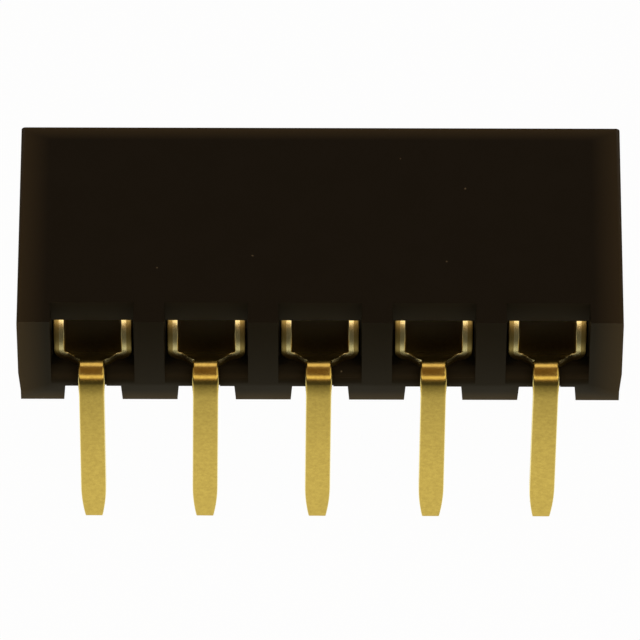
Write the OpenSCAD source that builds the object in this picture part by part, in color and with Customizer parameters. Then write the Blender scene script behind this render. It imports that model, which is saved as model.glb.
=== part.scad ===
// Female header strip: one row of spring contacts in a moulded housing that
// lies flat on its board, with right-angle solder tails.
// X runs along the row, +Y is the mating side and Z is up from the board.
// The origin is on the board plane, in the middle of the row of tails.

/* [Row] */
// Number of contacts in the row
positions = 5; // [2:1:10]
// Distance between neighbouring contacts
pitch = 2.0; // [1.9:0.05:2.6]
// What the housing adds past half a pitch at each end
end_over = 0.315; // [0.2:0.005:0.8]

/* [Housing] */
// Height of the housing above the board
body_h = 2.2; // [2.1:0.05:2.6]
// Depth of the housing, from the rear of the ribs to the mating face
body_d = 4.4; // [4.3:0.05:6]
// Depth of the open pockets between the rear ribs
rib_d = 0.44; // [0.4:0.02:0.8]
// Thickness of the roof over the contacts
roof_t = 0.5; // [0.4:0.01:0.56]
// Height of the floor that the contacts lie on
floor_h = 0.7; // [0.66:0.01:0.76]
// Radius of the sill's upper edge, which the tails bend round
lip_r = 0.25; // [0.2:0.01:0.26]
// Depth of the groove in the sill that each tail lies in
groove_d = 0.025; // [0.01:0.005:0.05]
// Radius along the top edges of the two ends
edge_r = 0.07; // [0.03:0.01:0.15]
// What each end face draws in towards the board
end_draft = 0.035; // [0.01:0.005:0.1]
// Height at which the ends start to draw in
draft_top = 0.75; // [0.6:0.05:1]
// Height below which the ends run straight down to the board
draft_foot = 0.25; // [0.1:0.05:0.4]

/* [Board notches] */
// Height of the notch under each tail
notch_h = 0.38; // [0.2:0.02:0.4]
// Width of a notch on the board plane
notch_w = 1.03; // [0.8:0.01:1.2]
// What each side of a notch draws in at its top
notch_draft = 0.025; // [0.01:0.005:0.06]
// How far a notch runs in under the housing
notch_d = 1.2; // [0.6:0.1:2]

/* [Sockets] */
// Side of the square hole through the mating wall
entry_w = 0.7; // [0.6:0.02:0.8]
// Side of the lead-in at the mating face
funnel_w = 1.15; // [0.95:0.05:1.3]
// Depth of the lead-in
funnel_d = 0.3; // [0.15:0.05:0.4]
// Thickness of the mating wall
front_wall = 0.45; // [0.42:0.01:0.6]

/* [Contact] */
// Thickness of the contact's strip metal
metal_t = 0.19; // [0.14:0.01:0.21]
// Width over the two upright walls of a contact
contact_w = 1.36; // [1.24:0.02:1.4]
// Inner radius of the two folds of the channel
fold_r = 0.05; // [0.04:0.01:0.08]
// Length of the shoulders between the channel's floor and the tail
shoulder_l = 0.15; // [0.1:0.01:0.17]
// Height of the corner cut off the rear of each wall's top
corner_h = 0.29; // [0.2:0.01:0.4]
// Length of that corner
corner_l = 0.13; // [0.12:0.01:0.2]
// Height of the two spring beams
beam_h = 0.56; // [0.4:0.02:0.6]
// Gap between the beams where they grip a pin
beam_gap = 0.36; // [0.3:0.02:0.44]
// Angle at which the beams close in
close_angle = 10; // [8:1:12]
// Angle at which the beams' ends open for the pin
flare_angle = 25; // [15:1:30]
// Inner radius of the curves in a beam
beam_r = 0.35; // [0.2:0.05:0.4]
// Length of the straight flare at a beam's end
flare_l = 0.35; // [0.2:0.05:0.4]
// Length over which a wall narrows to its beam
throat_l = 0.25; // [0.15:0.05:0.4]
// Length of a retaining barb on a wall
barb_l = 0.18; // [0.1:0.02:0.3]
// Height of a retaining barb
barb_h = 0.3; // [0.2:0.05:0.5]

/* [Tail] */
// Width of a tail
tail_w = 0.45; // [0.35:0.01:0.55]
// Length of a tail below the board plane
tail_l = 3.2; // [2.4:0.1:4]
// Inner radius of the right-angle bend
tail_r = 0.15; // [0.1:0.01:0.18]
// Length of the rounded taper at the tip
tip_l = 0.86; // [0.5:0.02:1.1]
// Width of the tip's blunt end
tip_w = 0.31; // [0.2:0.01:0.34]

/* [Fits] */
// Gap between a contact's wall and the side of its cavity
side_clear = 0.03; // [0.01:0.01:0.05]
// Gap between the top of a contact and the roof of its cavity
top_clear = 0.03; // [0.01:0.01:0.06]
// What a pocket is wider than the cavity, at each side
pocket_step = 0.025; // [0.005:0.005:0.03]
// How far a contact's walls stand out of the cavity at the rear
rear_out = 0.1; // [0.05:0.01:0.12]
// Gap between a tail and the groove it lies in, behind it and at its sides
tail_gap = 0.01; // [0.01:0.005:0.03]
// Gap between the beams' ends and the mating wall
tip_clear = 0.08; // [0.05:0.01:0.2]
// Gap left between a barb and the side of the cavity
barb_clear = 0.005; // [0.001:0.001:0.01]

/* [Hidden] */
$fn = 48;
over = 0.5;
body_l = positions * pitch + 2 * end_over;

// Places along Y, from the tails to the mating face; the sill is flush with the ribs
sill_y = metal_t / 2 + tail_gap;
rib_y = sill_y - groove_d;
wall_y = rib_y + rib_d;
face_y = rib_y + body_d;
lip_y = metal_t / 2 + tail_r;
cavity_end = face_y - front_wall;
channel_y = wall_y - rear_out;

// The cavity and the axis that the mating pins follow
cavity_w = contact_w + 2 * side_clear;
cavity_h = body_h - roof_t - floor_h;
pocket_w = cavity_w + 2 * pocket_step;
axis_z = floor_h + cavity_h / 2;

// The contact's channel and the path of a beam's middle line
channel_h = cavity_h - top_clear;
flat_half = contact_w / 2 - metal_t - fold_r;
curve_r = beam_r + metal_t / 2;
close_x = (contact_w - beam_gap) / 2 - metal_t - 2 * curve_r * (1 - cos(close_angle));
close_l = close_x / sin(close_angle);
beam_l = throat_l + 2 * curve_r * sin(close_angle) + close_l * cos(close_angle)
    + curve_r * sin(flare_angle) + flare_l * cos(flare_angle)
    + metal_t / 2 * sin(flare_angle);
channel_l = cavity_end - tip_clear - beam_l - channel_y;
tip_r = (pow(tip_l, 2) + pow((tail_w - tip_w) / 2, 2)) / (tail_w - tip_w);

function row_x(i) = (i - (positions + 1) / 2) * pitch;

// The housing seen along Y: rounded top corners, ends drawn in at the foot
module end_outline() {
    half = body_l / 2;
    polygon([
        [end_draft - half, 0], [half - end_draft, 0], [half - end_draft, draft_foot],
        [half, draft_top], [half, body_h - edge_r], [half - edge_r, body_h],
        [edge_r - half, body_h], [-half, body_h - edge_r], [-half, draft_top],
        [end_draft - half, draft_foot]
    ]);
    for (side = [-1, 1])
        translate([side * (half - edge_r), body_h - edge_r]) circle(edge_r);
}

// The open space over the floor and round the sill's rounded edge, seen along X
module pocket_outline(sill) {
    difference() {
        polygon([
            [rib_y - over, body_h + over], [wall_y, body_h + over], [wall_y, floor_h],
            [sill + lip_r, floor_h], [sill + lip_r, floor_h - lip_r],
            [rib_y - over, floor_h - lip_r]
        ]);
        translate([sill + lip_r, floor_h - lip_r]) circle(lip_r);
    }
}

// The shallow groove that one tail lies in, with the same rounded edge
module groove() {
    across(tail_w + 2 * tail_gap) {
        pocket_outline(sill_y);
        translate([rib_y - over, -over]) square([groove_d + over, floor_h + over]);
    }
}

// Extrudes an outline drawn in Y and Z to a width centred on X
module across(width) {
    translate([-width / 2, 0, 0])
        rotate([90, 0, 90]) linear_extrude(width) children();
}

// Extrudes an outline drawn in X and Z from one Y to another
module along(from, to) {
    translate([0, to, 0]) rotate([90, 0, 0]) linear_extrude(to - from) children();
}

// Square lead-in that narrows from the mating face to the entry
module funnel() {
    wide = funnel_w / 2;
    narrow = entry_w / 2;
    slope = (wide - narrow) / funnel_d;
    outer = wide + slope * over;
    intersection() {
        translate([0, 0, -outer]) linear_extrude(2 * outer) polygon([
            [-narrow, face_y - funnel_d], [narrow, face_y - funnel_d],
            [outer, face_y + over], [-outer, face_y + over]
        ]);
        across(2 * outer) polygon([
            [face_y - funnel_d, -narrow], [face_y - funnel_d, narrow],
            [face_y + over, outer], [face_y + over, -outer]
        ]);
    }
}

// The way in for one mating pin: lead-in and square hole
module socket() {
    translate([0, 0, axis_z]) {
        funnel();
        translate([-entry_w / 2, cavity_end - over, -entry_w / 2])
            cube([entry_w, front_wall + over, entry_w]);
    }
}

// Space for one contact, open to its pocket at the rear
module cavity() {
    translate([-cavity_w / 2, wall_y - over, floor_h])
        cube([cavity_w, cavity_end - wall_y + over, cavity_h]);
}

// Notch in the rear foot that lets a tail's solder joint breathe
module notch() {
    half = notch_w / 2;
    slope = notch_draft / notch_h;
    along(rib_y - over, rib_y + notch_d) polygon([
        [-half - slope * over, -over], [half + slope * over, -over],
        [half - notch_draft, notch_h], [notch_draft - half, notch_h]
    ]);
}

module housing() {
    color([0.11, 0.105, 0.085])
        difference() {
            along(rib_y, face_y) end_outline();
            for (i = [1:positions]) translate([row_x(i), 0, 0]) {
                across(pocket_w) pocket_outline(rib_y);
                groove();
                cavity();
                socket();
                notch();
            }
        }
}

// Section of the contact's channel seen along Y, standing on the floor
module channel_outline() {
    half = contact_w / 2;
    outer_r = fold_r + metal_t;
    difference() {
        union() {
            translate([-half, outer_r]) square([contact_w, channel_h - outer_r]);
            translate([outer_r - half, 0]) square([contact_w - 2 * outer_r, outer_r]);
            for (side = [-1, 1]) translate([side * (half - outer_r), outer_r]) circle(outer_r);
        }
        translate([metal_t - half, outer_r])
            square([contact_w - 2 * metal_t, channel_h]);
        translate([-flat_half, metal_t]) square([2 * flat_half, channel_h]);
        for (side = [-1, 1]) translate([side * flat_half, outer_r]) circle(fold_r);
    }
}

// What is cut off the rear of the walls' top, seen along X
module corner_outline() {
    top_z = floor_h + channel_h;
    polygon([
        [channel_y - corner_l, top_z - 2 * corner_h], [channel_y + 2 * corner_l, top_z + corner_h],
        [channel_y - corner_l, top_z + corner_h]
    ]);
}

// The folded channel with its two walls, which slope forward at their rear corners
module channel() {
    difference() {
        translate([0, 0, floor_h]) along(channel_y, channel_y + channel_l) channel_outline();
        across(contact_w + over) corner_outline();
    }
}

// A straight run of upright strip towards +Y; what follows starts at its end
module straight(run) {
    translate([-metal_t / 2, 0, -beam_h / 2]) cube([metal_t, run, beam_h]);
    translate([0, run, 0]) children();
}

// A curve of upright strip, towards -X when the angle is positive
module curve(angle) {
    side = sign(angle);
    translate([-side * curve_r, 0, 0]) {
        rotate([0, 0, side > 0 ? 0 : 180 + angle])
            rotate_extrude(angle = abs(angle))
                translate([beam_r, -beam_h / 2]) square([metal_t, beam_h]);
        rotate([0, 0, angle]) translate([side * curve_r, 0, 0]) children();
    }
}

// The wall's front end, seen along X, narrowing to the beam
module throat_outline() {
    polygon([
        [0, floor_h + metal_t + fold_r], [throat_l, axis_z - beam_h / 2],
        [throat_l, axis_z + beam_h / 2], [0, floor_h + channel_h]
    ]);
}

// Spring beam on the +X side: it closes in to the pin, then opens at its end
module beam() {
    front_y = channel_y + channel_l;
    middle_x = (contact_w - metal_t) / 2;
    translate([middle_x, front_y, 0]) across(metal_t) throat_outline();
    translate([middle_x, front_y + throat_l, axis_z])
        curve(close_angle) straight(close_l) curve(-close_angle)
            curve(-flare_angle) straight(flare_l);
}

// Ramp on the outside of a wall that bites when the contact is pulled back
module barb() {
    height = side_clear - barb_clear;
    back_y = channel_y + channel_l / 2;
    translate([contact_w / 2, back_y, axis_z - barb_h / 2])
        linear_extrude(barb_h) polygon([[-height, 0], [height, 0], [-height, 2 * barb_l]]);
}

// The tail seen along Y, from the bend down to its rounded tip
module tail_outline() {
    shaft = tail_l - tip_l;
    bend_z = floor_h - tail_r;
    translate([-tail_w / 2, -shaft]) square([tail_w, bend_z + shaft]);
    intersection() {
        translate([-tail_w / 2, -tail_l]) square([tail_w, tip_l]);
        translate([tip_r - tail_w / 2, -shaft]) circle(tip_r, $fn = 200);
        translate([tail_w / 2 - tip_r, -shaft]) circle(tip_r, $fn = 200);
    }
}

// Flat blade from the channel's floor, which it laps, over the shoulders to the bend
module blade_outline() {
    lap_y = channel_y + metal_t;
    neck_y = channel_y - shoulder_l;
    polygon([
        [-flat_half, lap_y], [-flat_half, channel_y], [-tail_w / 2, neck_y],
        [-tail_w / 2, lip_y], [tail_w / 2, lip_y], [tail_w / 2, neck_y],
        [flat_half, channel_y], [flat_half, lap_y]
    ]);
}

// Right-angle bend from the blade down to the tail
module tail_bend() {
    translate([-tail_w / 2, lip_y, floor_h - tail_r])
        rotate([0, 90, 0]) rotate([0, 0, 180])
            rotate_extrude(angle = 90) translate([tail_r, 0]) square([metal_t, tail_w]);
}

// One contact, stamped and folded from a single strip
module contact(i) {
    color([0.83, 0.66, 0.30]) translate([row_x(i), 0, 0]) {
        along(-metal_t / 2, metal_t / 2) tail_outline();
        tail_bend();
        translate([0, 0, floor_h]) linear_extrude(metal_t) blade_outline();
        channel();
        for (side = [0, 1]) mirror([side, 0, 0]) {
            beam();
            barb();
        }
    }
}

housing();
for (i = [1:positions])
    contact(i);
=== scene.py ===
import math
import bmesh
import bpy
from mathutils import Matrix, Vector


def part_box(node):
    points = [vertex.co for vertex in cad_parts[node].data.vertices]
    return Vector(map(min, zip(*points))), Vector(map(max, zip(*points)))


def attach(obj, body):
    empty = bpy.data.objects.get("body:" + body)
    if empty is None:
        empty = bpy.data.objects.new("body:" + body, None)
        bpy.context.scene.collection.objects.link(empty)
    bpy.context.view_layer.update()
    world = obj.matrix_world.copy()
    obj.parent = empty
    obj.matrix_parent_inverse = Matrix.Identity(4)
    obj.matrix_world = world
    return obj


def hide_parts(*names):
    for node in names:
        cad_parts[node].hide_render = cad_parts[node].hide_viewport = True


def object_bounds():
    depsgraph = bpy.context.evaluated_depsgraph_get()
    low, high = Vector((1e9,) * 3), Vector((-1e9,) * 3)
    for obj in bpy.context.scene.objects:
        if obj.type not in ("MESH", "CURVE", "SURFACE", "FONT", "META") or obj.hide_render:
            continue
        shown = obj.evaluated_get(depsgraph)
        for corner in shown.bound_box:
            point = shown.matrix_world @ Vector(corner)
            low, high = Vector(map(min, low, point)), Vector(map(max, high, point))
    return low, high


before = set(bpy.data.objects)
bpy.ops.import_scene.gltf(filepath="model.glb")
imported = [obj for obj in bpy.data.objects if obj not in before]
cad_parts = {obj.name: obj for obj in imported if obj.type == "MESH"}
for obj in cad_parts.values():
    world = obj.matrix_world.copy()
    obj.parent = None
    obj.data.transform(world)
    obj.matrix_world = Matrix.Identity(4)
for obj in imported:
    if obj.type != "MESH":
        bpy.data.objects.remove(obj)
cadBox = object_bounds()
contactNodes = sorted(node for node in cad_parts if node.startswith("contact_"))
mm = 0.001
slack = 1e-6  # metres: how far a vertex may lie from where it is looked for
weld = 1e-7  # metres: vertices closer together than this become one
print("frame loaded:", sorted(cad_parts))


# Selecting and editing

def deselectAll():
    bpy.ops.object.select_all(action="DESELECT")
    bpy.context.view_layer.objects.active = None


def makeActive(piece):
    deselectAll()
    piece.select_set(True)
    bpy.context.view_layer.objects.active = piece


def openMesh(piece, kind="EDGE"):
    makeActive(piece)
    bpy.ops.object.mode_set(mode="EDIT")
    bpy.ops.mesh.select_mode(type=kind)
    bpy.ops.mesh.select_all(action="DESELECT")


def closeMesh():
    bpy.ops.object.mode_set(mode="OBJECT")


def pickEdges(piece, test):  # selects the edges whose two ends both pass the test
    bpy.ops.mesh.select_all(action="DESELECT")
    cage = bmesh.from_edit_mesh(piece.data)
    for edge in cage.edges:
        edge.select_set(all(test(vert.co) for vert in edge.verts))
    bmesh.update_edit_mesh(piece.data)


def pickVerts(piece, test):
    bpy.ops.mesh.select_all(action="DESELECT")
    cage = bmesh.from_edit_mesh(piece.data)
    for vert in cage.verts:
        vert.select_set(test(vert.co))
    cage.select_flush_mode()
    bmesh.update_edit_mesh(piece.data)


def near(value, target):
    return abs(value - target) < slack


def runModifier(piece, kind, **settings):
    makeActive(piece)
    step = piece.modifiers.new(kind.title(), kind)
    for key, value in settings.items():
        setattr(step, key, value)
    bpy.ops.object.modifier_apply(modifier=step.name)


def smoothByAngle(piece, degrees):
    makeActive(piece)
    bpy.ops.object.shade_smooth_by_angle(angle=math.radians(degrees))


# Materials

def hexColour(code):  # sRGB hex to the linear values that Blender wants
    parts = [int(code[i:i + 2], 16) / 255 for i in (1, 3, 5)]
    linear = [p / 12.92 if p <= 0.04045 else ((p + 0.055) / 1.055) ** 2.4 for p in parts]
    return (*linear, 1.0)


def newMaterial(name):
    made = bpy.data.materials.new(name)
    made.use_nodes = True
    made.node_tree.nodes.clear()
    return made, made.node_tree


def addNode(tree, kind, settings=None, links=None):
    # settings go to sockets by name or to the node itself, links bring other nodes' outputs in
    node = tree.nodes.new("ShaderNode" + kind)
    for key, value in (settings or {}).items():
        if isinstance(key, int) or key in node.inputs:
            node.inputs[key].default_value = value
        else:
            setattr(node, key, value)
    for key, source in (links or {}).items():
        tree.links.new(source, node.inputs[key])
    return node


def combine(tree, operation, first, second):
    return addNode(tree, "Math", {"operation": operation}, {0: first, 1: second}).outputs[0]


def noise(tree, place, size, detail):  # size in millimetres
    grain = addNode(tree, "TexNoise", {"Scale": 1 / (size * mm), "Detail": detail}, {"Vector": place})
    return grain.outputs["Fac"]


def ramp(tree, value, start, end):  # 0 at the start, 1 at the end
    return addNode(tree, "MapRange", {"From Min": start, "From Max": end}, {"Value": value}).outputs[0]


def between(tree, share, low, high):
    return addNode(tree, "MapRange", {"To Min": low, "To Max": high}, {"Value": share}).outputs[0]


def mixTone(tree, share, first, second):  # each tone is a hex code or another node's output
    mix = addNode(tree, "MixRGB", {}, {"Fac": share})
    for socket, tone in (("Color1", first), ("Color2", second)):
        if isinstance(tone, str):
            mix.inputs[socket].default_value = hexColour(tone)
        else:
            tree.links.new(tone, mix.inputs[socket])
    return mix.outputs["Color"]


def relief(tree, height, strength, depth):  # depth in millimetres
    bump = addNode(tree, "Bump", {"Strength": strength, "Distance": depth * mm}, {"Height": height})
    return bump.outputs["Normal"]


def finishMaterial(tree, settings, links):
    shader = addNode(tree, "BsdfPrincipled", settings, links)
    addNode(tree, "OutputMaterial", {}, {"Surface": shader.outputs["BSDF"]})


# Glass-filled thermoplastic, injection moulded black: satin, with a fine spark-eroded grain
blackPlastic = {  # lengths in millimetres, the ranges of painted glare along X, Y and Z
    # the pale third tone is a painted highlight, which stands in for glare
    "colour": "#11110c", "colourWorn": "#15140f", "paintedGlare": "#383122", "speck": "#5f5644",
    "roughness": (0.45, 0.55), "ior": 1.5, "specular": 0.12, "sheen": "#ffd69a", "bump": 0.5,
    "grain": 0.03, "grainDepth": 0.0012, "flow": 0.6, "speckSize": 0.024, "speckGap": 0.6,
    "speckRagged": 2.0, "speckFade": (1.8, 1.4),  # in sizes of a speck
    # where the painted glare goes: the ends, the far front edge and the feet
    "glareEnds": (4.8, 5.5), "glareFront": (4.2, 4.52), "glareFeet": (0.25, -0.05),
}


def blackMoulding():
    made, tree = newMaterial("glass-filled nylon, moulded black")
    place = addNode(tree, "TexCoord").outputs["Object"]
    grain = noise(tree, place, blackPlastic["grain"], 4.0)
    flow = noise(tree, place, blackPlastic["flow"], 3.0)
    tone = mixTone(tree, flow, blackPlastic["colour"], blackPlastic["colourWorn"])
    # painted highlight: the ends, the far front edge and the feet are painted paler, standing in for the
    # glare that the bright floor and the lamps throw on them
    axis = addNode(tree, "SeparateXYZ", {}, {"Vector": place}).outputs
    side = addNode(tree, "Math", {"operation": "ABSOLUTE"}, {0: axis["X"]}).outputs[0]
    glareMasks = []
    for key, value in (("glareEnds", side), ("glareFront", axis["Y"]), ("glareFeet", axis["Z"])):
        start, end = blackPlastic[key]
        glareMasks.append(ramp(tree, value, start * mm, end * mm))
    glareMask = combine(tree, "MAXIMUM", combine(tree, "MAXIMUM", glareMasks[0], glareMasks[1]), glareMasks[2])
    # the painted glare is mixed into the plastic's colour here
    tone = mixTone(tree, glareMask, tone, blackPlastic["paintedGlare"])
    # here and there a glass fibre's end or a crumb of flash lies pale on the skin
    crumbs = addNode(tree, "TexVoronoi", {"Scale": 1 / (blackPlastic["speckGap"] * mm)}, {"Vector": place})
    reach = blackPlastic["speckSize"] / blackPlastic["speckGap"]
    ragged = addNode(tree, "Math", {"operation": "MULTIPLY_ADD", 1: reach * blackPlastic["speckRagged"]},
                     {0: grain, 2: crumbs.outputs["Distance"]})
    start, end = blackPlastic["speckFade"]
    crumb = ramp(tree, ragged.outputs[0], reach * start, reach * end)
    tone = mixTone(tree, crumb, tone, blackPlastic["speck"])
    gloss = between(tree, flow, *blackPlastic["roughness"])
    skin = relief(tree, grain, blackPlastic["bump"], blackPlastic["grainDepth"])
    finishMaterial(tree, {"IOR": blackPlastic["ior"], "Specular IOR Level": blackPlastic["specular"],
                          "Specular Tint": hexColour(blackPlastic["sheen"])},
                   {"Base Color": tone, "Roughness": gloss, "Normal": skin})
    return made


# Thin gold over nickel on a stamped copper alloy: a warm mirror softened by rolling lines
goldPlate = {
    "colour": "#d9bf63", "clouded": "#b39a4b", "roughness": 0.235, "thin": "#b3a074", "thinRoughness": 0.46,
    "bump": 0.5, "stretch": 0.08,  # the rolling lines' scale along the strip, where 1 is across it
    "lines": 0.02, "lineDepth": 0.0004, "cloud": 0.06,  # millimetres
    "thinFrom": (0.3, 1.1), "thinTo": (2.2, 1.4),  # millimetres along Y
}


def goldPlating():
    made, tree = newMaterial("gold plate on rolled bronze")
    place = addNode(tree, "TexCoord").outputs["Object"]
    drawn = addNode(tree, "Mapping", {"Scale": (1.0, goldPlate["stretch"], goldPlate["stretch"])},
                    {"Vector": place})
    lines = noise(tree, drawn.outputs["Vector"], goldPlate["lines"], 3.0)
    skin = relief(tree, lines, goldPlate["bump"], goldPlate["lineDepth"])
    cloud = noise(tree, place, goldPlate["cloud"], 2.0)
    tone = mixTone(tree, cloud, goldPlate["colour"], goldPlate["clouded"])
    # little of the bath reaches into the channel, so that the plate is thin, dull and matt there
    along = addNode(tree, "SeparateXYZ", {}, {"Vector": place}).outputs["Y"]
    ends = []
    for key in ("thinFrom", "thinTo"):
        start, end = goldPlate[key]
        ends.append(ramp(tree, along, start * mm, end * mm))
    thin = combine(tree, "MINIMUM", ends[0], ends[1])
    tone = mixTone(tree, thin, tone, goldPlate["thin"])
    gloss = between(tree, thin, goldPlate["roughness"], goldPlate["thinRoughness"])
    finishMaterial(tree, {"Metallic": 1.0}, {"Base Color": tone, "Roughness": gloss, "Normal": skin})
    return made


# The same plate over a blanked edge: the punch burnishes the first half of the cut and the
# rest tears, so one band shines and the other is duller and scatters more
blankedEdge = {
    "burnished": "#fdeeb2", "burnishedRoughness": 0.24, "torn": "#bba564", "tornRoughness": 0.3,
    "bump": 0.6, "tear": 0.03, "tearDepth": 0.0015,  # the last two in millimetres
}


def blankedPlating(band):
    made, tree = newMaterial("gold plate on a " + band + " edge")
    tear = noise(tree, addNode(tree, "TexCoord").outputs["Object"], blankedEdge["tear"], 4.0)
    skin = relief(tree, tear, blankedEdge["bump"], blankedEdge["tearDepth"])
    finishMaterial(tree, {"Base Color": hexColour(blankedEdge[band]), "Metallic": 1.0,
                          "Roughness": blankedEdge[band + "Roughness"]}, {"Normal": skin})
    return made


# Housing

housingShape = {  # millimetres, and degrees for flat, sharp and smooth
    "edge": 0.014, "edgeSteps": 2, "flat": 0.5, "sharp": 20, "smooth": 30,
    "lip": 0.25, "lipSides": 96, "lipY": 0.33, "lipZ": 0.45, "lipFrom": 0.236, "lipTo": 0.76,
}


def addLips(piece):
    # the sill's edge, which the tails bend round: a true round laid over the coarse one
    h = {key: value * mm for key, value in housingShape.items()}
    centre, width = Vector((0, h["lipY"], h["lipZ"])), h["lipTo"] - h["lipFrom"]
    deselectAll()
    bpy.ops.mesh.primitive_cylinder_add(vertices=housingShape["lipSides"], radius=h["lip"], depth=width,
                                        location=centre, rotation=(0, math.radians(90), 0))
    lip = bpy.context.object
    bpy.ops.object.transform_apply(location=True, rotation=True, scale=True)
    openMesh(lip, "FACE")
    for normal in ((0, 0, 1), (0, -1, 0)):
        bpy.ops.mesh.select_all(action="SELECT")
        bpy.ops.mesh.bisect(plane_co=centre, plane_no=normal, use_fill=True, clear_inner=True,
                            threshold=weld / 10)
    bpy.ops.mesh.select_all(action="SELECT")
    bpy.ops.mesh.normals_make_consistent(inside=False)
    # one at each side of a tail, then the same pair at each tail
    bpy.ops.transform.translate(value=(-h["lipFrom"] - width / 2, 0, 0))
    bpy.ops.mesh.duplicate_move(TRANSFORM_OT_translate={"value": (2 * h["lipFrom"] + width, 0, 0)})
    bpy.ops.mesh.select_all(action="SELECT")
    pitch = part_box(contactNodes[1])[0].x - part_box(contactNodes[0])[0].x
    further = len(contactNodes) - 1
    bpy.ops.transform.translate(value=(-pitch * further / 2, 0, 0))
    for place in range(further):
        bpy.ops.mesh.duplicate_move(TRANSFORM_OT_translate={"value": (pitch, 0, 0)})
    closeMesh()
    runModifier(piece, "BOOLEAN", operation="UNION", solver="EXACT", object=lip)
    bpy.data.objects.remove(lip)
    openMesh(piece, "VERT")
    bpy.ops.mesh.select_all(action="SELECT")
    bpy.ops.mesh.remove_doubles(threshold=2 * weld)
    closeMesh()


def makeHousing(finish):
    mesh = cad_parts["housing"].data.copy()
    mesh.materials.clear()
    piece = bpy.data.objects.new("housing_moulding", mesh)
    bpy.context.scene.collection.objects.link(piece)
    openMesh(piece, "VERT")
    bpy.ops.mesh.select_all(action="SELECT")
    bpy.ops.mesh.customdata_custom_splitnormals_clear()
    bpy.ops.mesh.remove_doubles(threshold=weld)
    bpy.ops.mesh.dissolve_limited(angle_limit=math.radians(housingShape["flat"]))
    closeMesh()
    addLips(piece)
    runModifier(piece, "BEVEL", width=housingShape["edge"] * mm, segments=housingShape["edgeSteps"],
                limit_method="ANGLE", angle_limit=math.radians(housingShape["sharp"]))
    smoothByAngle(piece, housingShape["smooth"])
    runModifier(piece, "WEIGHTED_NORMAL", keep_sharp=True)
    piece.data.materials.append(finish)
    return piece


# Contacts

contactShape = {  # millimetres
    "thickness": 0.19, "channelWidth": 1.374, "foldRadius": 0.05, "channelHeight": 0.97,
    "channelRear": 0.42, "cornerHeight": 0.29, "cornerLength": 0.175, "floor": 0.7, "tailWidth": 0.45,
    "bendRadius": 0.15, "tailLength": 3.198, "tipLength": 0.86, "tipWidth": 0.31, "axisHeight": 1.2,
    "beamHeight": 0.56, "beamGap": 0.36, "beamRadius": 0.35, "beamTip": 3.95, "flareLength": 0.35,
    "throat": 0.25, "barbLength": 0.18, "barbHeight": 0.3, "barbProud": 0.017,
    "edge": 0.012, "rollOver": 0.05, "springRadius": 2.4, "bulge": 0.3, "bulgeFrom": 0.2, "bulgeTo": 0.02,
}
contactAngle = {"close": 10, "flare": 25, "firstBend": 82, "sharp": 55, "smooth": 40}  # degrees
contactSteps = {
    "fold": 8, "close": 4, "flare": 10, "shoulder": 4, "bend": 16, "relax": 6, "tip": 8, "edge": 4,
}
bendSwell = 1.06  # times as wide as the tail


def extrudeEdges(move):
    bpy.ops.mesh.extrude_edges_move(TRANSFORM_OT_translate={"value": move})


def spinEdges(degrees, centre, axis, steps):  # counter-clockwise, which spin calls negative
    bpy.ops.mesh.spin(steps=steps, dupli=False, angle=-math.radians(degrees), center=centre, axis=axis,
                      use_auto_merge=False, use_normal_flip=False)


def scaleEdges(factor, centre):
    bpy.ops.transform.resize(value=factor, center_override=centre)


def stepAlong(point, heading, length):  # heading in degrees, 0 along +Y, positive towards -X
    turn = math.radians(heading)
    return point + Vector((-math.sin(turn), math.cos(turn), 0)) * length


def foldChannel(piece, c, half, flat, frontY):
    # half of the floor, seen from below: the underside is the side that the press drew
    wallLow = c["floor"] + c["foldRadius"] + c["thickness"]
    pickEdges(piece, lambda p: near(p.x, flat))
    spinEdges(90, (flat, 0, wallLow), (0, -1, 0), contactSteps["fold"])
    wallHigh = c["floor"] + c["channelHeight"]
    extrudeEdges((0, 0, wallHigh - c["cornerHeight"] - wallLow))
    extrudeEdges((0, 0, c["cornerHeight"]))
    # the wall's front end narrows to the beam
    ratio = c["beamHeight"] / (wallHigh - wallLow)
    beamLow = c["axisHeight"] - c["beamHeight"] / 2
    pickEdges(piece, lambda p: near(p.y, frontY) and near(p.x, half) and p.z > wallLow - slack)
    extrudeEdges((0, c["throat"], 0))
    scaleEdges((1, 1, ratio), (0, 0, (beamLow - ratio * wallLow) / (1 - ratio)))


def bendBeam(c, start, closeRun):
    # closes in on the pin, then opens at its end to let the pin in
    close, flare = contactAngle["close"], contactAngle["flare"]
    outer = c["beamRadius"] + c["thickness"]
    inside = stepAlong(start, 90, outer)
    spinEdges(close, inside, (0, 0, 1), contactSteps["close"])
    pen = stepAlong(inside, close - 90, outer)
    extrudeEdges(stepAlong(pen, close, closeRun) - pen)
    pen = stepAlong(pen, close, closeRun)
    outside = stepAlong(pen, close - 90, c["beamRadius"])
    spinEdges(-(close + flare), outside, (0, 0, 1), contactSteps["flare"])
    pen = stepAlong(outside, 90 - flare, c["beamRadius"])
    extrudeEdges(stepAlong(pen, -flare, c["flareLength"]) - pen)


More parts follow.
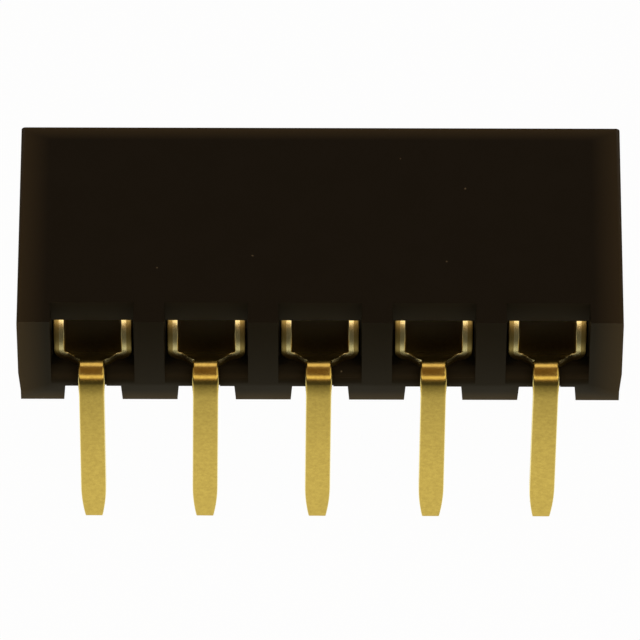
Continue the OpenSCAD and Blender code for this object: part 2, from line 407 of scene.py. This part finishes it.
def bendTail(piece, c, flat):
    # shoulders, blade and a right angle that relaxes over its last few degrees
    tailHalf = c["tailWidth"] / 2
    bend, first = c["bendRadius"], math.radians(contactAngle["firstBend"])
    spring, rest = c["springRadius"], math.radians(90) - first
    relaxed = spring * (1 - math.cos(rest)) - bend * (1 - math.sin(first))
    bendY = c["bendY"] = c["thickness"] / 2 + bend + relaxed
    pickEdges(piece, lambda p: near(p.y, c["channelRear"]) and near(p.z, c["floor"]) and p.x < flat + slack)
    width, steps = flat, contactSteps["shoulder"]
    for step in range(1, steps + 1):
        target = flat + (tailHalf - flat) * step / steps
        extrudeEdges((0, (bendY - c["channelRear"]) / steps, 0))
        scaleEdges((target / width, 1, 1), (0, 0, 0))
        width = target
    centre = Vector((0, bendY, c["floor"] - bend))
    spinEdges(contactAngle["firstBend"], centre, (1, 0, 0), contactSteps["bend"])
    heading = Vector((0, -math.sin(first), math.cos(first)))
    spinEdges(math.degrees(rest), centre + heading * (bend - spring), (1, 0, 0), contactSteps["relax"])
    low = centre.z + math.cos(first) * (bend - spring)
    # straight shank, then a tip that narrows along a large circle
    tip, drop = c["tipLength"], (c["tailWidth"] - c["tipWidth"]) / 2
    tipRadius = (tip ** 2 + drop ** 2) / (2 * drop)
    extrudeEdges((0, 0, tip - c["tailLength"] - low))
    width, steps = tailHalf, contactSteps["tip"]
    for step in range(1, steps + 1):
        down = tip * step / steps
        target = tailHalf - tipRadius + math.sqrt(tipRadius ** 2 - down ** 2)
        extrudeEdges((0, 0, -tip / steps))
        scaleEdges((target / width, 1, 1), (0, 0, 0))
        width = target


def makeContact(finishes):
    c = {key: value * mm for key, value in contactShape.items()}
    close, flare = math.radians(contactAngle["close"]), math.radians(contactAngle["flare"])
    half = c["channelWidth"] / 2
    flat = half - c["foldRadius"] - c["thickness"]
    middleRadius = c["beamRadius"] + c["thickness"] / 2
    travel = (c["channelWidth"] - c["beamGap"]) / 2 - c["thickness"]
    closeRun = (travel - 2 * middleRadius * (1 - math.cos(close))) / math.sin(close)
    beam = 2 * middleRadius * math.sin(close) + closeRun * math.cos(close) + middleRadius * math.sin(flare)
    beam += c["flareLength"] * math.cos(flare) + c["thickness"] / 2 * math.sin(flare)
    frontY = c["beamTip"] - beam - c["throat"]

    length = c["channelLength"] = frontY - c["channelRear"]
    deselectAll()
    bpy.ops.mesh.primitive_plane_add(size=1, location=(flat / 2, c["channelRear"] + length / 2, c["floor"]))
    piece = bpy.context.object
    piece.name = "contact_strip"
    piece.scale = (flat, length, 1)
    bpy.ops.object.transform_apply(location=True, rotation=True, scale=True)
    openMesh(piece)
    foldChannel(piece, c, half, flat, frontY)
    bendBeam(c, Vector((half, frontY + c["throat"], c["axisHeight"])), closeRun)
    bendTail(piece, c, flat)
    # the rear corner of the wall's top is cut off on a slope
    wallHigh = c["floor"] + c["channelHeight"]
    bpy.ops.mesh.select_mode(type="VERT")
    pickVerts(piece, lambda p: near(p.y, c["channelRear"]) and near(p.z, wallHigh))
    bpy.ops.transform.translate(value=(0, c["cornerLength"], 0))
    closeMesh()

    runModifier(piece, "MIRROR", use_clip=True, merge_threshold=weld)
    for finish in finishes:
        piece.data.materials.append(finish)
    openMesh(piece, "FACE")
    bpy.ops.mesh.select_all(action="SELECT")
    bpy.ops.mesh.remove_doubles(threshold=weld)
    bpy.ops.mesh.normals_make_consistent(inside=False)
    closeMesh()
    onFloor = Vector((0, c["channelRear"] + length / 2, c["floor"]))
    floorFace = min(piece.data.polygons, key=lambda face: (face.center - onFloor).length)
    side = -1 if floorFace.normal.z < 0 else 1
    runModifier(piece, "SOLIDIFY", thickness=c["thickness"], offset=side, use_even_offset=True,
                material_offset=2, material_offset_rim=1)
    splitEdges(piece)
    swellBend(piece, c)
    weighEdges(piece, c)
    runModifier(piece, "BEVEL", width=c["rollOver"], segments=contactSteps["edge"], limit_method="WEIGHT")
    smoothByAngle(piece, contactAngle["smooth"])
    addBarbs(piece, c, half)
    runModifier(piece, "WEIGHTED_NORMAL", keep_sharp=True)
    return piece


def splitEdges(piece):
    # the cut edge is burnished towards the inside of the bends and torn towards the outside
    openMesh(piece, "EDGE")
    cage = bmesh.from_edit_mesh(piece.data)
    for edge in cage.edges:
        rims = [face.material_index == 1 for face in edge.link_faces]
        edge.select_set(len(rims) == 2 and all(rims))
    bmesh.update_edit_mesh(piece.data)
    bpy.ops.mesh.subdivide(number_cuts=1)
    cage = bmesh.from_edit_mesh(piece.data)
    for face in cage.faces:
        beside = {other.material_index for edge in face.edges for other in edge.link_faces}
        if face.material_index == 1 and 2 in beside:
            face.material_index = 3
    for face in cage.faces:
        face.material_index = {0: 0, 1: 1, 2: 0, 3: 2}[face.material_index]
    bmesh.update_edit_mesh(piece.data)
    closeMesh()


def swellBend(piece, c):
    # metal squeezed in the bend swells sideways
    openMesh(piece, "VERT")
    top = c["floor"] + c["thickness"] / 2
    pickVerts(piece, lambda p: p.y < c["bendRadius"] and top - c["bulgeFrom"] < p.z < top - c["bulgeTo"])
    bpy.ops.transform.resize(value=(bendSwell, 1, 1), center_override=(0, 0, 0), use_proportional_edit=True,
                             use_proportional_connected=True, proportional_edit_falloff="SMOOTH",
                             proportional_size=c["bulge"])
    closeMesh()


edgeRoll = {  # shares of rollOver: a plain stretch, or a growth less a start along shoulder and bend
    "plain": 0.6, "fold": 0.06, "shoulderGrowth": 1.5, "shoulderStart": 0.1, "bendGrowth": 2.5,
    "bendStart": 0.2,
}


def weighEdges(piece, c):
    # the die rolls the edge over beside the burnished band: most where the bend swells, hardly in
    # the folds, and not at all where the shoulders meet the bend. The other edges are only tumbled
    openMesh(piece, "EDGE")
    cage = bmesh.from_edit_mesh(piece.data)
    weight = cage.edges.layers.float.new("bevel_weight_edge")
    foldTop = c["floor"] + c["thickness"] + c["foldRadius"]
    for edge in cage.edges:
        if edge.calc_face_angle(0) < math.radians(contactAngle["sharp"]):
            continue
        edge[weight] = c["edge"] / c["rollOver"]
        if {face.material_index for face in edge.link_faces} == {0, 1}:
            middle = (edge.verts[0].co + edge.verts[1].co) / 2
            shoulder = (middle.y - c["bendY"]) / (c["channelRear"] - c["bendY"])
            turned = (c["bendY"] - middle.y) / (c["bendY"] - c["thickness"] / 2)
            edge[weight] = edgeRoll["plain"]
            if near(middle.y, c["channelRear"]) and middle.z < foldTop:
                edge[weight] = edgeRoll["fold"]
            elif 0 < shoulder < 1:
                edge[weight] = max(0, edgeRoll["shoulderGrowth"] * shoulder ** 3 - edgeRoll["shoulderStart"])
            elif 0 < turned and middle.z > 0:
                edge[weight] = min(1, max(0, edgeRoll["bendGrowth"] * turned - edgeRoll["bendStart"]))
    bmesh.update_edit_mesh(piece.data)
    closeMesh()


def addBarbs(piece, c, half):
    # lanced ramps on the outside of both walls, which bite into the cavity's sides
    rear = c["channelRear"] + c["channelLength"] / 2
    deselectAll()
    bpy.ops.mesh.primitive_cube_add(size=1, location=(half, rear + c["barbLength"], c["axisHeight"]))
    barb = bpy.context.object
    barb.scale = (2 * c["barbProud"], 2 * c["barbLength"], c["barbHeight"])
    bpy.ops.object.transform_apply(location=True, rotation=True, scale=True)
    openMesh(barb)
    pickEdges(barb, lambda p: p.x > half and p.y > rear + c["barbLength"])
    bpy.ops.transform.translate(value=(-2 * c["barbProud"], 0, 0))
    bpy.ops.mesh.select_all(action="SELECT")
    bpy.ops.mesh.remove_doubles(threshold=weld)
    bpy.ops.mesh.normals_make_consistent(inside=False)
    closeMesh()
    barb.data.materials.append(piece.data.materials[0])
    runModifier(barb, "MIRROR", use_clip=False, use_mirror_merge=False)
    runModifier(piece, "BOOLEAN", operation="UNION", solver="EXACT", object=barb)
    bpy.data.objects.remove(barb)


# How each tail stands in the photograph: millimetres sideways, degrees of lean to the left
tailStand = {
    "contact_1": (-0.024, 0.26), "contact_2": (-0.016, 0.64), "contact_3": (-0.022, 0.38),
    "contact_4": (-0.001, 0.22), "contact_5": (-0.02, 0.26),
}
tailStart = 0.3  # millimetres: what lies behind this along Y shifts, what hangs below it along Z leans


def copyContact(master, node):
    low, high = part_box(node)
    copy = master.copy()
    copy.data = master.data.copy()
    copy.name = node + "_strip"
    bpy.context.scene.collection.objects.link(copy)
    shift, lean = tailStand[node]
    openMesh(copy, "VERT")
    pickVerts(copy, lambda p: p.y < tailStart * mm)
    bpy.ops.transform.translate(value=(shift * mm, 0, 0))
    pickVerts(copy, lambda p: p.z < tailStart * mm)
    bpy.ops.transform.rotate(value=-math.radians(lean), orient_axis="Y", orient_type="GLOBAL",
                             center_override=(0, 0, tailStart * mm))
    bpy.ops.mesh.select_all(action="SELECT")
    bpy.ops.transform.translate(value=((low.x + high.x) / 2, 0, 0))
    closeMesh()
    return copy


# Floor, lights and camera

cardStage = {  # size in metres, the pool of light in millimetres from the strip's middle
    "size": 3.0, "white": 0.98, "card": "#bdb093", "lit": "#fffce8",
    "poolStart": 3.2, "poolEnd": 8.8, "poolRim": 0.06, "middle": 2.2,
    "row": 0.3,  # how much of the way along the row counts, so that the pool is long
}


def whiteCard():
    made, tree = newMaterial("matt white card, lit in a pool")
    light = addNode(tree, "LightPath").outputs
    place = addNode(tree, "Mapping", {"Location": (0, -cardStage["middle"] * mm, 0),
                                      "Scale": (cardStage["row"], 1, 0)},
                    {"Vector": addNode(tree, "TexCoord").outputs["Object"]})
    reach = addNode(tree, "VectorMath", {"operation": "LENGTH"}, {0: place.outputs["Vector"]})
    # metal shows the bright card close by and the dark room beyond it
    pool = addNode(tree, "MapRange", {"interpolation_type": "SMOOTHSTEP",
                                      "From Min": cardStage["poolStart"] * mm,
                                      "From Max": cardStage["poolEnd"] * mm,
                                      "To Min": 1.0, "To Max": cardStage["poolRim"]},
                   {"Value": reach.outputs["Value"]})
    mirrored = combine(tree, "MAXIMUM", light["Is Glossy Ray"], light["Is Transmission Ray"])
    seen = combine(tree, "MAXIMUM", light["Is Camera Ray"], mirrored)
    share = addNode(tree, "Math", {"operation": "MULTIPLY", 1: cardStage["white"]}, {0: seen})
    level = combine(tree, "MAXIMUM", light["Is Camera Ray"], pool.outputs["Result"])
    card = addNode(tree, "BsdfDiffuse", {"Color": hexColour(cardStage["card"])})
    tone = mixTone(tree, light["Is Camera Ray"], cardStage["lit"], "#ffffff")
    glow = addNode(tree, "Emission", {}, {"Color": tone, "Strength": level})
    blend = addNode(tree, "MixShader", {}, {0: share.outputs[0], 1: card.outputs[0], 2: glow.outputs[0]})
    addNode(tree, "OutputMaterial", {}, {"Surface": blend.outputs[0]})
    return made


def makeFloor():
    deselectAll()
    bpy.ops.mesh.primitive_plane_add(size=cardStage["size"], location=(0, 0, cadBox[0].z))
    floor = bpy.context.object
    floor.name = "floor"
    floor.data.materials.append(whiteCard())


lampDistance = 0.3  # metres from the strip's middle
lamps = {  # side and height are angles from the tails' side, sizes in metres, glow where 1 is white
    "overhead_strip": {"side": 0, "height": 98, "width": 0.34, "depth": 0.13, "glow": 1.32,
                       "tone": "#fff0ed"},
    "rear_strip": {"side": 0, "height": 20, "width": 0.8, "depth": 0.1, "glow": 1.3, "tone": "#fff0d8"},
    "left_softbox": {"side": -55, "height": 22, "width": 0.4, "depth": 0.3, "glow": 0.2, "tone": "#f6f3f0"},
    "right_softbox": {"side": 55, "height": 22, "width": 0.26, "depth": 0.4, "glow": 0.8, "tone": "#f6f3f0"},
    "front_fill": {"side": 165, "height": 6, "width": 0.4, "depth": 0.16, "glow": 0.7, "tone": "#f6f3f0"},
    "rear_fill": {"side": 0, "height": 10, "width": 0.5, "depth": 0.2, "glow": 2.6, "tone": "#fff0d8",
                  "mirrored": False},
}


def makeLamps():
    centre = (cadBox[0] + cadBox[1]) / 2
    for name, lamp in lamps.items():
        side, height = math.radians(lamp["side"]), math.radians(lamp["height"])
        out = math.cos(height)
        away = Vector((math.sin(side) * out, -math.cos(side) * out, math.sin(height)))
        deselectAll()
        bpy.ops.object.light_add(type="AREA", location=centre + away * lampDistance)
        light = bpy.context.object
        light.name = name
        light.data.shape = "RECTANGLE"
        light.data.size, light.data.size_y = lamp["width"], lamp["depth"]
        light.data.color = hexColour(lamp["tone"])[:3]
        light.data.energy = lamp["glow"] * math.pi * lamp["width"] * lamp["depth"]
        light.rotation_euler = away.to_track_quat("Z", "Y").to_euler()
        light.visible_glossy = lamp.get("mirrored", True)  # the rear fill lights the plastic and no metal


room = {  # the backdrop's edges are parts of a unit direction, Y back and Z up
    "tone": "#7c5f40", "behindFrom": 0.2, "behindTo": 0.7, "lowFrom": 0.45, "lowTo": 0.15,
}


def makeRoom():
    # a dim warm room with a white backdrop low behind the strip, and white all round for the camera
    world = bpy.data.worlds.new("dim warm room, white backdrop")
    bpy.context.scene.world = world
    world.use_nodes = True
    tree = world.node_tree
    tree.nodes.clear()
    light = addNode(tree, "LightPath").outputs
    way = addNode(tree, "SeparateXYZ", {}, {"Vector": addNode(tree, "TexCoord").outputs["Generated"]}).outputs
    behind = ramp(tree, way["Y"], room["behindFrom"], room["behindTo"])
    low = ramp(tree, way["Z"], room["lowFrom"], room["lowTo"])
    mirrored = combine(tree, "MAXIMUM", light["Is Glossy Ray"], light["Is Transmission Ray"])
    shown = combine(tree, "MULTIPLY", mirrored, combine(tree, "MULTIPLY", behind, low))
    seen = combine(tree, "MAXIMUM", light["Is Camera Ray"], shown)
    glow = addNode(tree, "Background", {}, {"Color": mixTone(tree, seen, room["tone"], "#ffffff")})
    addNode(tree, "OutputWorld", {}, {"Surface": glow.outputs[0]})


cameraView = {  # elevation and roll in degrees, distance and clipStart in metres, the rest in millimetres
    "elevation": 51.8, "roll": 0.14, "distance": 0.1696, "clipStart": 0.01, "lens": 540, "sensor": 36,
    "aim": (-0.002, 1.185, 0.869),
}


def makeCamera():
    tilt = math.radians(cameraView["elevation"])
    aim = Vector(cameraView["aim"]) * mm
    back = Vector((0, -math.cos(tilt), math.sin(tilt)))
    deselectAll()
    bpy.ops.object.camera_add(location=aim + back * cameraView["distance"])
    camera = bpy.context.object
    camera.data.lens = cameraView["lens"]
    camera.data.sensor_width = cameraView["sensor"]
    camera.data.clip_start = cameraView["clipStart"]
    roll = Matrix.Rotation(math.radians(cameraView["roll"]), 3, "Z")
    camera.rotation_euler = ((-back).to_track_quat("-Z", "Y").to_matrix() @ roll).to_euler()
    bpy.context.scene.camera = camera


bpy.context.scene.view_settings.view_transform = "Standard"
makeCamera()
makeFloor()
makeLamps()
makeRoom()
print("stage ready")

moulding = blackMoulding()
plating, burnished, torn = goldPlating(), blankedPlating("burnished"), blankedPlating("torn")
housing = makeHousing(moulding)
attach(housing, "root")
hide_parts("housing")
print("housing ready:", len(housing.data.polygons), "faces")

master = makeContact((plating, burnished, torn))
for node in contactNodes:
    contact = copyContact(master, node)
    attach(contact, "root")
    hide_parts(node)
bpy.data.objects.remove(master)
print("contacts ready:", len(contact.data.polygons), "faces each")
